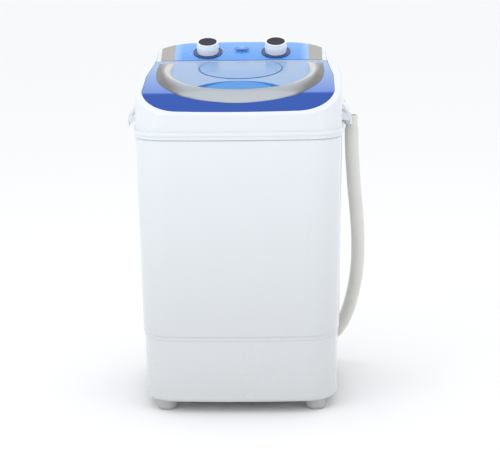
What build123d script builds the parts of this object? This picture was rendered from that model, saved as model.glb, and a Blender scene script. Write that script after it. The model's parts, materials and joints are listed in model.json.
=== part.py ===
from build123d import *
import math
import os

# Portable single-tub washing machine, millimetres.
# +Z up, front towards -Y, right hand side towards +X, origin on the floor under the middle of the body.

os.makedirs("parts", exist_ok=True)

# ---------------------------------------------------------------- driving dimensions
body_width = 370.0  # across the bead of the top collar
body_depth = 370.0
foot_height = 20.0
base_height = 111.5  # wall of the base housing, above the feet
rim_height = 7.5  # bead on top of the base housing
cabinet_height = 343.0
flange_thickness = 2.2  # tub flange, clamped between cabinet and collar
skirt_height = 6.0  # plain band at the bottom of the collar
bead_height = 7.0
collar_front_height = 30.0  # from the top of the bead to the front edge of the deck
wall = 2.8
side_bow = 9.0  # how far the four sides bow outwards
corner_radius = 58.0
deck_corner_radius = 118.0  # corners of the collar's outline, if it went on up to over_z

# how far each level of the body stands in from the bead
skirt_inset = 1.8
collar_inset = 3.0
collar_top_inset = 5.0
cabinet_top_inset = 3.5
cabinet_foot_inset = 9.5
rim_inset = 11.0
base_top_inset = 12.2
base_foot_inset = 13.8
seam_recess = 1.6  # the tub flange stands back this much in the seam

# deck of the collar
facet_angle = 25.5
deck_angle = 8.2
panel_angle = 20.7
front_edge_inset = 5.0
facet_length = 62.0  # along Y
panel_length = 76.4  # along Y, from its front wall to the back of the body
deck_thickness = 6.4
deck_edge_radius = 5.0

# lid
lid_thickness = 2.6
lid_side_frame = 19.0  # collar frame beside the lid
lid_side_taper = 10.0  # the rear half of the lid narrows this much on each side
lid_front_frame = 13.0
lid_corner_radius = 66.0
lid_gap = 0.8
lid_ledge = 8.0
hinge_drop = 6.5  # hinge axis below the deck surface
hinge_pin_radius = 1.75
hinge_knuckle_radius = 3.9
hinge_ear_radius = 3.5
hinge_knuckle_length = 24.0
hinge_knuckle_x = 137.0
ear_thickness = 3.0
ear_gap = 0.6
running_gap = 0.05
part_gap = 0.4

# knobs and panel
knob_spacing = 126.0
knob_radius = 21.0
knob_height = 20.0
knob_cap_radius = 17.0
bezel_radius = 27.0
knob_forward = 3.5  # knobs stand this much in front of the middle of the panel
bezel_height = 1.6
spindle_radius = 3.0
overlay_half_width = 124.0
overlay_thickness = 0.8
trim_width = 24.0
trim_thickness = 1.2
switch_width = 46.0
switch_depth = 36.0
switch_height = 26.0

# tub and drive
tub_radius = 150.0  # inside
tub_wall = 2.5
tub_floor = 3.0
tub_depth = 331.0  # inside, below the flange
shaft_radius = 6.0
bushing_radius = 10.0
bearing_radius = 21.0
bearing_flange_radius = 34.0
seal_radius = 14.0
pulsator_radius = 88.0
drive_pulley_radius = 62.0
motor_pulley_radius = 12.5
pulley_width = 14.0
pulley_centres = 95.0
belt_thickness = 4.0
belt_clearance = 0.35
motor_radius = 48.0
motor_height = 70.0
rotor_radius = 26.0
motor_shaft_radius = 5.0
plate_thickness = 2.5
post_height = 37.0  # from the base floor up to the motor plate

# feet, grips, drain
foot_radius = 19.0
foot_tip_radius = 16.5
foot_x = 131.0
foot_y = 128.0
grip_length = 100.0
grip_reach = 15.5  # beyond the collar wall
hose_diameter = 25.0
hose_wall = 2.0
nozzle_radius = 11.0
valve_x = 84.0
valve_y = 136.0
valve_radius = 19.0
valve_stroke = 12.0
spout_radius = 11.0
drain_z = 27.0

# ---------------------------------------------------------------- levels and half sizes
half_width = body_width / 2
half_depth = body_depth / 2
base_z = foot_height
rim_z = base_z + base_height
cabinet_z = rim_z + rim_height
flange_z = cabinet_z + cabinet_height
collar_z = flange_z + flange_thickness
bead_z = collar_z + skirt_height
band_z = bead_z + bead_height
front_z = band_z + collar_front_height
over_z = front_z + body_depth * 0.5

front_edge_y = -half_depth + front_edge_inset
crease_y = front_edge_y + facet_length
panel_y = half_depth - panel_length
hinge_y = panel_y - hinge_drop - 0.6


def tan(degrees):
    return math.tan(math.radians(degrees))


crease_z = front_z + facet_length * tan(facet_angle)
panel_z = crease_z + (panel_y - crease_y) * tan(deck_angle)


def deck_z(y):
    """Height of the deck surface above y, the round creases left out."""
    if y < crease_y:
        return crease_z - (crease_y - y) * tan(facet_angle)
    if y < panel_y:
        return crease_z + (y - crease_y) * tan(deck_angle)
    return panel_z + (y - panel_y) * tan(panel_angle)


hinge_z = deck_z(hinge_y) - hinge_drop


def save(builder, name):
    builder.part.label = name
    export_step(builder.part, "parts/" + name + ".step")


# ---------------------------------------------------------------- shared shapes
def outline(z, inset, margin=0.0, corner=corner_radius):
    """Body outline at height z: a rounded rectangle with bowed sides, inset from the bead."""
    reach_x = half_width - inset - margin
    reach_y = half_depth - inset - margin
    corner_x = reach_x - side_bow
    corner_y = reach_y - side_bow
    with BuildSketch(Plane.XY.offset(z), mode=Mode.PRIVATE) as shape:
        with BuildLine():
            ThreePointArc((-corner_x, -corner_y), (0, -reach_y), (corner_x, -corner_y))
            ThreePointArc((corner_x, -corner_y), (reach_x, 0), (corner_x, corner_y))
            ThreePointArc((corner_x, corner_y), (0, reach_y), (-corner_x, corner_y))
            ThreePointArc((-corner_x, corner_y), (-reach_x, 0), (-corner_x, -corner_y))
        make_face()
        fillet(shape.vertices(), corner - margin)
    return shape.sketch


def deck_space(drop):
    """Everything below the deck surface lowered by drop."""
    far = body_depth
    with BuildPart() as space:
        with BuildSketch(Plane.YZ.offset(-body_width)):
            with BuildLine():
                FilletPolyline(
                    (-far, deck_z(-far) - drop),
                    (crease_y, crease_z - drop),
                    (panel_y, panel_z - drop),
                    (far, deck_z(far) - drop),
                    radius=[30.0, 12.0],
                )
                Polyline(
                    (far, deck_z(far) - drop),
                    (far, -far),
                    (-far, -far),
                    (-far, deck_z(-far) - drop),
                )
            make_face()
        extrude(amount=2 * body_width)
    return space.part


deck_level = deck_space(0.0)
lid_underside = deck_space(lid_thickness)
ledge_level = deck_space(lid_thickness + part_gap)
deck_underside = deck_space(deck_thickness)


def lid_outline(grow):
    """Lid outline seen from above, grown by grow; its back edge is straight."""
    reach_x = half_width - lid_side_frame + grow
    back_x = reach_x - lid_side_taper
    front_y = -half_depth + lid_front_frame - grow
    bow = 6.0
    with BuildSketch(Plane.XY, mode=Mode.PRIVATE) as shape:
        with BuildLine():
            ThreePointArc((-reach_x, front_y + bow), (0, front_y), (reach_x, front_y + bow))
            Line((reach_x, front_y + bow), (reach_x, 0))
            Line((reach_x, 0), (back_x, panel_y))
            Line((back_x, panel_y), (-back_x, panel_y))
            Line((-back_x, panel_y), (-reach_x, 0))
            Line((-reach_x, 0), (-reach_x, front_y + bow))
        make_face()
        fillet(shape.vertices().group_by(Axis.Y)[0], lid_corner_radius + grow)
    return shape.sketch


def panel_outline(grow, front_y, back_y):
    """Control panel seen from above: a little narrower at the back."""
    front_x = half_width - lid_side_frame - lid_side_taper + grow
    back_x = front_x - 3.0
    with BuildSketch(Plane.XY, mode=Mode.PRIVATE) as shape:
        with BuildLine():
            Polyline(
                (-front_x, front_y),
                (front_x, front_y),
                (back_x, back_y),
                (-back_x, back_y),
                close=True,
            )
        make_face()
    return shape.sketch


# ---------------------------------------------------------------- top collar
with BuildPart() as collar_block:
    loft([outline(band_z, collar_inset), outline(over_z, collar_top_inset, 0.0, deck_corner_radius)])
    add(deck_level, mode=Mode.INTERSECT)
    side_band = half_width * 0.75
    deck_rim = [
        edge
        for edge in collar_block.edges()
        if min(vertex.Z for vertex in edge.vertices()) > front_z - 6.0
        and abs(edge.tangent_at(0.5).Z) < 0.6
        and max(abs(edge.center().X), abs(edge.center().Y)) > side_band
    ]
    fillet(deck_rim, deck_edge_radius)

with BuildPart() as bead:
    loft([outline(bead_z, 0.0), outline(band_z, 0.0)])
    fillet(bead.edges().filter_by(lambda edge: abs(edge.tangent_at(0.5).Z) < 0.1), skirt_inset * 0.9)

with BuildPart() as collar_foot:
    loft([outline(collar_z, skirt_inset), outline(bead_z, skirt_inset)])
    add(bead)

# everything inside the collar's walls, up to the underside of its deck
with BuildPart() as collar_room:
    loft(
        [
            outline(collar_z, collar_inset, wall),
            outline(over_z, collar_top_inset, wall, deck_corner_radius),
        ]
    )
    add(deck_underside, mode=Mode.INTERSECT)

panel_back_y = half_depth + 5.0
switch_bay_half = half_width - lid_side_frame - 12.0
switch_bay_back = half_depth - 16.0

# seat of the lid: a recess with a ledge
with BuildPart() as lid_seat:
    extrude(lid_outline(lid_gap), amount=over_z)
    add(ledge_level, mode=Mode.SUBTRACT)

# seat of the control panel, open at the back
with BuildPart() as panel_seat:
    extrude(panel_outline(part_gap, panel_y - 0.1, panel_back_y), amount=over_z)
    add(ledge_level, mode=Mode.SUBTRACT)

# room for the switches under the panel, and for the hinge in front of it
with BuildPart() as switch_bay:
    with BuildSketch(Plane.XY.offset(band_z)):
        with Locations((0, (panel_y - 20.0 + switch_bay_back) / 2)):
            Rectangle(2 * switch_bay_half, switch_bay_back - panel_y + 20.0)
    extrude(amount=over_z)
    loft(
        [
            outline(band_z - 1.0, collar_inset, wall),
            outline(over_z, collar_top_inset, wall, deck_corner_radius),
        ],
        mode=Mode.INTERSECT,
    )

with BuildPart() as top_collar:
    add(collar_foot)
    add(collar_block)
    add(collar_room, mode=Mode.SUBTRACT)
    add(lid_seat, mode=Mode.SUBTRACT)
    extrude(lid_outline(-lid_ledge), amount=over_z, mode=Mode.SUBTRACT)
    add(panel_seat, mode=Mode.SUBTRACT)
    add(switch_bay, mode=Mode.SUBTRACT)
    # the lid's back edge swings down through here
    with BuildSketch(Plane.XY.offset(hinge_z - 2 * hinge_drop)):
        with Locations((0, hinge_y)):
            Rectangle(2 * (half_width - lid_side_frame - lid_side_taper + lid_gap) + 3.2, 15.2)
    extrude(amount=over_z, mode=Mode.SUBTRACT)
save(top_collar, "top_collar")

# ---------------------------------------------------------------- cabinet and base
cabinet_wall = wall + 0.4
tongue_height = 8.0
tongue_inset = cabinet_foot_inset + cabinet_wall + 0.2
with BuildPart() as cabinet_shell:
    loft([outline(cabinet_z, cabinet_foot_inset), outline(flange_z, cabinet_top_inset)])
    loft(
        [
            outline(cabinet_z, cabinet_foot_inset, cabinet_wall),
            outline(flange_z, cabinet_top_inset, cabinet_wall),
        ],
        mode=Mode.SUBTRACT,
    )
    # holes for the three screws at the back
    with BuildSketch(Plane.XZ.offset(-half_depth - 5.0)):
        with GridLocations(body_width * 0.3, 1.0, 3, 1):
            with Locations((0, cabinet_z + tongue_height * 0.6)):
                Circle(2.1)
    extrude(amount=40.0, mode=Mode.SUBTRACT)
save(cabinet_shell, "cabinet_shell")

base_floor = 3.0
floor_z = base_z + base_floor
foot_points = [(sx * foot_x, sy * foot_y) for sx in (-1, 1) for sy in (-1, 1)]
plate_left = -pulley_centres - motor_radius - 10.0
plate_right = bearing_flange_radius + 11.0
plate_half = drive_pulley_radius + 12.0
post_xs = (plate_left + 10.0, plate_right - 10.0)
post_points = [(x, y) for x in post_xs for y in (10.0 - plate_half, plate_half - 10.0)]
post_z = floor_z + post_height
gland_x = -body_width * 0.32
gland_z = base_z + base_height * 0.4
gland_hole_radius = 7.0
screw_y = half_depth - cabinet_foot_inset

with BuildPart() as base_block:
    loft([outline(base_z, base_foot_inset), outline(rim_z, base_top_inset)])
    fillet(base_block.faces().sort_by(Axis.Z)[0].edges(), 7.0)

with BuildPart() as rim_bead:
    loft([outline(rim_z, rim_inset), outline(cabinet_z, rim_inset)])
    fillet(rim_bead.edges().filter_by(lambda edge: abs(edge.tangent_at(0.5).Z) < 0.1), 1.0)

with BuildPart() as base_housing:
    add(base_block)
    add(rim_bead)
    loft(
        [
            outline(cabinet_z - 1.0, tongue_inset),
            outline(cabinet_z + tongue_height, tongue_inset - 0.1),
        ]
    )
    loft(
        [
            outline(floor_z, base_foot_inset, wall),
            outline(cabinet_z + tongue_height + 1.0, tongue_inset, wall),
        ],
        mode=Mode.SUBTRACT,
    )
    # louvres in the floor, in rows on both sides of the drive
    with BuildSketch(Plane.XY.offset(base_z - 1.0)):
        with GridLocations(12.0, 2 * foot_y * 0.7, 9, 2):
            SlotOverall(46.0, 5.0, rotation=90)
    extrude(amount=base_floor + 2.0, mode=Mode.SUBTRACT)
    # bosses that take the stems of the feet
    with BuildSketch(Plane.XY.offset(base_z)):
        with Locations(*foot_points):
            Circle(9.0)
    extrude(amount=base_floor + 9.0)
    with BuildSketch(Plane.XY.offset(base_z - 1.0)):
        with Locations(*foot_points):
            Circle(2.0)
    extrude(amount=base_floor + 9.0, mode=Mode.SUBTRACT)
    # posts of the motor plate
    with BuildSketch(Plane.XY.offset(floor_z)):
        with Locations(*post_points):
            Circle(7.0)
    extrude(amount=post_height)
    with BuildSketch(Plane.XY.offset(post_z - 14.0)):
        with Locations(*post_points):
            Circle(2.0)
    extrude(amount=14.0, mode=Mode.SUBTRACT)
    # notch in the lower back edge for the drain elbow, and room for the drain valve
    with BuildSketch(Plane.XZ.offset(-half_depth)):
        with Locations((valve_x, drain_z)):
            SlotCenterToCenter(30.0, 2 * spout_radius + 6.0, rotation=90)
    extrude(amount=half_depth - valve_y, mode=Mode.SUBTRACT)
    with BuildSketch(Plane.XY.offset(base_z - 1.0)):
        with Locations((valve_x, valve_y)):
            Circle(valve_radius + 1.5)
    extrude(amount=base_floor + 2.0, mode=Mode.SUBTRACT)
    # hole of the cord gland
    with BuildSketch(Plane.XZ.offset(-half_depth)):
        with Locations((gland_x, gland_z)):
            Circle(gland_hole_radius)
    extrude(amount=40.0, mode=Mode.SUBTRACT)
    # pilot holes of the cabinet screws
    with BuildSketch(Plane.XZ.offset(-half_depth)):
        with GridLocations(body_width * 0.3, 1.0, 3, 1):
            with Locations((0, cabinet_z + tongue_height * 0.6)):
                Circle(1.5)
    extrude(amount=40.0, mode=Mode.SUBTRACT)
save(base_housing, "base_housing")


def screw_solid(head_radius, head_height, shank_radius, shank_length, plane):
    """Pan head screw standing on plane: shank along the plane's normal, head behind it."""
    with BuildPart(plane) as screw:
        Cylinder(shank_radius, shank_length, align=(Align.CENTER, Align.CENTER, Align.MIN))
        with Locations((0, 0, -head_height)):
            Cylinder(head_radius, head_height, align=(Align.CENTER, Align.CENTER, Align.MIN))
        with Locations((0, 0, -head_height)):
            Box(head_radius * 1.2, 0.8, 1.6, mode=Mode.SUBTRACT)
            Box(0.8, head_radius * 1.2, 1.6, mode=Mode.SUBTRACT)
    return screw.part


def back_face_y(x, z, margin=0.0):
    """Outside of the cabinet's back wall at x, near its foot."""
    reach = half_depth - cabinet_foot_inset - margin
    half_chord = half_width - cabinet_foot_inset - margin - side_bow
    drop = cabinet_foot_inset - cabinet_top_inset
    return reach + drop * (z - cabinet_z) / cabinet_height - side_bow * (x / half_chord) ** 2 + 0.45


cabinet_screw_solids = []
for x in (-body_width * 0.3, 0.0, body_width * 0.3):
    z = cabinet_z + tongue_height * 0.6
    cabinet_screw_solids.append(
        screw_solid(
            3.6, 1.8, 1.5, cabinet_wall + wall, Plane((x, back_face_y(x, z), z), (1, 0, 0), (0, -1, 0))
        )
    )
with BuildPart() as cabinet_screws:
    add(cabinet_screw_solids)
save(cabinet_screws, "cabinet_screws")

foot_stem_radius = 6.0
with BuildPart() as rubber_feet:
    with Locations(*[(x, y, base_z / 2) for x, y in foot_points]):
        Cone(foot_tip_radius, foot_radius, base_z)
    fillet(rubber_feet.edges().filter_by(lambda edge: edge.center().Z < 0.1), 1.5)
    with BuildSketch(Plane.XY):
        with Locations(*foot_points):
            Circle(6.0)
    extrude(amount=base_z * 0.6, mode=Mode.SUBTRACT)
    with BuildSketch(Plane.XY):
        with Locations(*foot_points):
            Circle(2.2)
    extrude(amount=base_z, mode=Mode.SUBTRACT)
save(rubber_feet, "rubber_feet")

foot_screw_z = base_z * 0.6
with BuildPart() as foot_screws:
    for x, y in foot_points:
        add(screw_solid(4.5, 2.4, 2.0, 16.0, Plane((x, y, foot_screw_z), (1, 0, 0), (0, 0, 1))))
save(foot_screws, "foot_screws")

with BuildPart() as cord_gland:
    gland_face_y = half_depth - base_top_inset - side_bow * (gland_x / (half_width - base_top_inset)) ** 2
    with BuildSketch(Plane.XZ.offset(-gland_face_y - 7.0)):
        with Locations((gland_x, gland_z)):
            Circle(gland_hole_radius - 0.2)
            Circle(3.6, mode=Mode.SUBTRACT)
    extrude(amount=22.0)
    with BuildSketch(Plane.XZ.offset(-gland_face_y - 6.0)):
        with Locations((gland_x, gland_z)):
            Circle(gland_hole_radius + 3.5)
            Circle(3.6, mode=Mode.SUBTRACT)
    extrude(amount=5.0)
save(cord_gland, "cord_gland")

# ---------------------------------------------------------------- wash tub
tub_outer = tub_radius + tub_wall
tub_floor_z = flange_z - tub_depth
tub_under_z = tub_floor_z - tub_floor
sump_x = valve_x * 0.86
sump_y = valve_y * 0.68
sump_radius = 12.0
strap_hole = 5.0
rib_count = 6
with BuildPart() as wash_tub:
    loft([outline(z, cabinet_top_inset, seam_recess) for z in (flange_z, collar_z)])
    with BuildSketch(Plane.XY.offset(tub_under_z)):
        Circle(tub_outer)
    extrude(amount=collar_z - tub_under_z)
    with BuildSketch(Plane.XY.offset(tub_floor_z)):
        Circle(tub_radius)
    extrude(amount=tub_depth + flange_thickness, mode=Mode.SUBTRACT)
    floor_edges = wash_tub.edges().filter_by(GeomType.CIRCLE)
    fillet(floor_edges.filter_by(lambda edge: abs(edge.center().Z - tub_floor_z) < 0.1), 12.0)
    # wash ribs on the wall
    with BuildSketch(Plane.XY.offset(tub_floor_z + 14.0)):
        with PolarLocations(tub_radius + 2.0, rib_count):
            Circle(7.0)
        Circle(tub_outer - 0.5, mode=Mode.INTERSECT)
    extrude(amount=tub_depth * 0.55)
    # seat of the shaft seal, drain port and passage of the valve strap
    with BuildSketch(Plane.XY.offset(tub_under_z)):
        Circle(seal_radius)
        with Locations((sump_x, sump_y)):
            with PolarLocations(7.0, 6):
                Circle(2.2)
            Circle(2.2)
    extrude(amount=tub_floor, mode=Mode.SUBTRACT)
    with BuildSketch(Plane.XY.offset(flange_z)):
        with Locations((valve_x, valve_y)):
            Circle(strap_hole)
    extrude(amount=flange_thickness, mode=Mode.SUBTRACT)
save(wash_tub, "wash_tub")

filter_width = 62.0
filter_depth = 16.0
filter_foot_z = tub_floor_z + tub_depth * 0.36
filter_height = 120.0
with BuildPart() as lint_filter:
    with BuildSketch(Plane.XY.offset(filter_foot_z)):
        Circle(tub_radius)
        Circle(tub_radius - filter_depth, mode=Mode.SUBTRACT)
        with Locations((0, tub_radius)):
            Rectangle(filter_width, 3 * filter_depth, mode=Mode.INTERSECT)
    extrude(amount=filter_height)
    with BuildSketch(Plane.XY.offset(filter_foot_z + 2.0)):
        Circle(tub_radius - 2.0)
        Circle(tub_radius - filter_depth + 2.0, mode=Mode.SUBTRACT)
        with Locations((0, tub_radius)):
            Rectangle(filter_width - 4.0, 3 * filter_depth, mode=Mode.INTERSECT)
    extrude(amount=filter_height - 4.0, mode=Mode.SUBTRACT)
    with BuildSketch(Plane.XZ.offset(-tub_radius + 6.0)):
        with Locations((0, filter_foot_z + filter_height / 2)):
            with GridLocations(9.0, 34.0, 5, 3):
                SlotOverall(26.0, 4.0, rotation=90)
    extrude(amount=filter_depth, mode=Mode.SUBTRACT)
save(lint_filter, "lint_filter")

# ---------------------------------------------------------------- drive
plate_z = post_z
plate_top = plate_z + plate_thickness
motor_x = -pulley_centres
pulley_z = floor_z + 17.0
screw_angles = [math.radians(45 + 90 * step) for step in range(4)]
bearing_screws = [(27.0 * math.cos(angle), 27.0 * math.sin(angle)) for angle in screw_angles]
motor_feet = [(motor_x + 40.0 * math.cos(angle), 40.0 * math.sin(angle)) for angle in screw_angles]
with BuildPart() as motor_plate:
    with BuildSketch(Plane.XY.offset(plate_z)):
        with Locations(((plate_left + plate_right) / 2, 0)):
            RectangleRounded(plate_right - plate_left, 2 * plate_half, 12.0)
        with Locations((0, 0)):
            Circle(bushing_radius + 2.0, mode=Mode.SUBTRACT)
        with Locations((motor_x, 0)):
            Circle(motor_shaft_radius + 9.0, mode=Mode.SUBTRACT)
        with Locations(*post_points, *bearing_screws, *motor_feet):
            Circle(2.2, mode=Mode.SUBTRACT)
    extrude(amount=plate_thickness)
save(motor_plate, "motor_plate")

plate_screw_length = plate_thickness + 10.0
with BuildPart() as plate_screws:
    add(
        [
            screw_solid(4.5, 2.4, 2.0, plate_screw_length, Plane((x, y, plate_top), (1, 0, 0), (0, 0, -1)))
            for x, y in post_points
        ]
    )
save(plate_screws, "plate_screws")

rotor_gap = 0.5
with BuildPart() as motor_housing:
    with BuildSketch(Plane.XY.offset(plate_top)):
        with Locations((motor_x, 0)):
            Circle(motor_radius)
    extrude(amount=motor_height)
    fillet(motor_housing.faces().sort_by(Axis.Z)[-1].edges(), 5.0)
    with BuildSketch(Plane.XY.offset(plate_top + 10.0)):
        with Locations((motor_x, 0)):
            Circle(rotor_radius + rotor_gap)
    extrude(amount=motor_height - 20.0, mode=Mode.SUBTRACT)
    with BuildSketch(Plane.XY.offset(plate_top)):
        with Locations((motor_x, 0)):
            Circle(motor_shaft_radius + running_gap)
    extrude(amount=motor_height - 5.0, mode=Mode.SUBTRACT)
    # cooling fins round the laminations
    with BuildSketch(Plane.XY.offset(plate_top + 16.0)):
        with Locations((motor_x, 0)):
            with PolarLocations(motor_radius, 24):
                Rectangle(6.0, 5.0)
    extrude(amount=motor_height - 32.0, mode=Mode.SUBTRACT)
    with BuildSketch(Plane.XY.offset(plate_top)):
        with Locations(*motor_feet):
            Circle(1.8)
    extrude(amount=8.0, mode=Mode.SUBTRACT)
save(motor_housing, "motor_housing")

with BuildPart() as motor_screws:
    for x, y in motor_feet:
        add(screw_solid(4.0, 2.2, 1.8, plate_thickness + 8.0, Plane((x, y, plate_z), (1, 0, 0), (0, 0, 1))))
save(motor_screws, "motor_screws")

with BuildPart() as motor_rotor:
    with BuildSketch(Plane.XY.offset(plate_top + 12.0)):
        with Locations((motor_x, 0)):
            Circle(rotor_radius)
    extrude(amount=motor_height - 24.0)
    with BuildSketch(Plane.XY.offset(pulley_z - 2.0)):
        with Locations((motor_x, 0)):
            Circle(motor_shaft_radius)
    extrude(amount=plate_top + motor_height - 6.0 - pulley_z + 2.0)
save(motor_rotor, "motor_rotor")


def grooved_pulley(x, rim_radius, bore_radius, web_radius):
    """Flat belt pulley with two flanges, its groove one belt thickness deep."""
    flange = 2.0
    with BuildPart() as pulley:
        with BuildSketch(Plane.XZ):
            with BuildLine():
                Polyline(
                    (bore_radius, 0.0),
                    (rim_radius + belt_thickness, 0.0),
                    (rim_radius + belt_thickness, flange),
                    (rim_radius, flange + 1.0),
                    (rim_radius, pulley_width - flange - 1.0),
                    (rim_radius + belt_thickness, pulley_width - flange),
                    (rim_radius + belt_thickness, pulley_width),
                    (bore_radius, pulley_width),
                    close=True,
                )
            make_face()
        revolve(axis=Axis.Z)
        if web_radius > 0:
            hub = bore_radius + 8.0
            with BuildSketch(Plane.XY.offset(4.0)):
                Circle(web_radius)
                Circle(hub, mode=Mode.SUBTRACT)
            extrude(amount=pulley_width, mode=Mode.SUBTRACT)
            with BuildSketch(Plane.XY):
                with PolarLocations((web_radius + hub) / 2, 6):
                    Circle((web_radius - hub) * 0.28)
            extrude(amount=4.0, mode=Mode.SUBTRACT)
    return pulley.part.moved(Location((x, 0, pulley_z)))


motor_groove = motor_pulley_radius - belt_thickness
drive_groove = drive_pulley_radius - belt_thickness
with BuildPart() as motor_pulley:
    add(grooved_pulley(motor_x, motor_groove, motor_shaft_radius, 0.0))
save(motor_pulley, "motor_pulley")

with BuildPart() as drive_pulley:
    add(grooved_pulley(0.0, drive_groove, shaft_radius, drive_groove - 5.0))
save(drive_pulley, "drive_pulley")


def belt_face(clearance):
    """Open area inside a belt round both pulleys."""
    small = motor_groove + clearance
    large = drive_groove + clearance
    lean = math.asin((large - small) / pulley_centres)
    with BuildSketch(Plane.XY.offset(pulley_z + 3.5), mode=Mode.PRIVATE) as face:
        Circle(large)
        with Locations((motor_x, 0)):
            Circle(small)
        with BuildLine():
            Polyline(
                (-large * math.sin(lean), large * math.cos(lean)),
                (motor_x - small * math.sin(lean), small * math.cos(lean)),
                (motor_x - small * math.sin(lean), -small * math.cos(lean)),
                (-large * math.sin(lean), -large * math.cos(lean)),
                close=True,
            )
        make_face()
    return face.sketch


with BuildPart() as drive_belt:
    extrude(belt_face(belt_clearance + belt_thickness - 1.0), amount=pulley_width - 7.0)
    extrude(belt_face(belt_clearance), amount=pulley_width - 7.0, mode=Mode.SUBTRACT)
save(drive_belt, "drive_belt")

with BuildPart() as bearing_housing:
    with BuildSketch(Plane.XY.offset(plate_top)):
        Circle(bearing_flange_radius)
    extrude(amount=5.0)
    with BuildSketch(Plane.XY.offset(plate_top)):
        Circle(bearing_radius)
    extrude(amount=tub_under_z - plate_top)
    with BuildSketch(Plane.XY.offset(plate_top)):
        with PolarLocations(bearing_radius + 5.0, 4):
            Rectangle(12.0, 4.0)
    extrude(amount=tub_under_z - plate_top - 14.0)
    with BuildSketch(Plane.XY.offset(plate_top)):
        Circle(bushing_radius)
    extrude(amount=tub_under_z - plate_top, mode=Mode.SUBTRACT)
    with BuildSketch(Plane.XY.offset(plate_top)):
        with Locations(*bearing_screws):
            Circle(1.8)
    extrude(amount=5.0, mode=Mode.SUBTRACT)
save(bearing_housing, "bearing_housing")

with BuildPart() as bearing_bolts:
    for x, y in bearing_screws:
        add(screw_solid(4.0, 2.2, 1.8, plate_thickness + 5.0, Plane((x, y, plate_z), (1, 0, 0), (0, 0, 1))))
save(bearing_bolts, "bearing_bolts")

bushing_length = 16.0
with BuildPart() as shaft_bushings:
    for z in (plate_top, tub_under_z - bushing_length - 1.0):
        with BuildSketch(Plane.XY.offset(z)):
            Circle(bushing_radius)
            Circle(shaft_radius + running_gap, mode=Mode.SUBTRACT)
        extrude(amount=bushing_length)
save(shaft_bushings, "shaft_bushings")

seal_height = 8.0
with BuildPart() as shaft_seal:
    with BuildSketch(Plane.XY.offset(tub_under_z)):
        Circle(seal_radius)
        Circle(shaft_radius + running_gap, mode=Mode.SUBTRACT)
    extrude(amount=seal_height)
save(shaft_seal, "shaft_seal")

disc_z = tub_floor_z + 6.0
shaft_top = disc_z + 21.0
with BuildPart() as pulsator_shaft:
    with BuildSketch(Plane.XY.offset(pulley_z - 6.0)):
        Circle(shaft_radius)
    extrude(amount=shaft_top - pulley_z + 6.0)
    with BuildSketch(Plane.XY.offset(shaft_top - 12.0)):
        Circle(2.0)
    extrude(amount=12.0, mode=Mode.SUBTRACT)
save(pulsator_shaft, "pulsator_shaft")

with BuildPart() as pulley_nut:
    with BuildSketch(Plane.XY.offset(pulley_z - 6.0)):
        RegularPolygon(10.0, 6)
        Circle(shaft_radius, mode=Mode.SUBTRACT)
    extrude(amount=6.0)
save(pulley_nut, "pulley_nut")

blade_count = 4
with BuildPart() as pulsator:
    with BuildSketch(Plane.XZ):
        with BuildLine():
            Polyline(
                (shaft_radius, disc_z + 2.0),
                (18.0, disc_z + 2.0),
                (20.0, disc_z),
                (pulsator_radius, disc_z),
            )
            ThreePointArc(
                (pulsator_radius, disc_z),
                (pulsator_radius + 2.0, disc_z + 2.5),
                (pulsator_radius, disc_z + 5.0),
            )
            ThreePointArc(
                (pulsator_radius, disc_z + 5.0),
                (pulsator_radius * 0.5, disc_z + 10.0),
                (pulsator_radius * 0.28, disc_z + 20.0),
            )
            Polyline(
                (pulsator_radius * 0.28, disc_z + 20.0),
                (shaft_radius + 5.0, shaft_top),
                (shaft_radius, shaft_top),
                (shaft_radius, disc_z + 2.0),
            )
        make_face()
    revolve(axis=Axis.Z)
    with BuildSketch(Plane.XY.offset(disc_z + 2.0)):
        with PolarLocations(pulsator_radius * 0.56, blade_count):
            SlotOverall(pulsator_radius * 0.72, 9.0, rotation=12.0)
    extrude(amount=20.0, taper=6.0)
    with BuildSketch(Plane.XY.offset(disc_z)):
        Circle(shaft_radius)
    extrude(amount=60.0, mode=Mode.SUBTRACT)
save(pulsator, "pulsator")

with BuildPart() as pulsator_screw:
    add(screw_solid(9.0, 4.0, 2.0, 10.0, Plane((0, 0, shaft_top), (1, 0, 0), (0, 0, -1))))
save(pulsator_screw, "pulsator_screw")

capacitor_x = -body_width * 0.16
capacitor_y = -half_depth * 0.66
with BuildPart() as capacitor:
    with BuildSketch(Plane.XY.offset(floor_z)):
        with Locations((capacitor_x, capacitor_y)):
            RectangleRounded(50.0, 26.0, 4.0)
    extrude(amount=36.0)
    with BuildSketch(Plane.XY.offset(floor_z + 36.0)):
        with Locations((capacitor_x, capacitor_y)):
            with GridLocations(24.0, 1.0, 2, 1):
                Rectangle(6.0, 1.0)
    extrude(amount=8.0)
save(capacitor, "capacitor")

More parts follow.
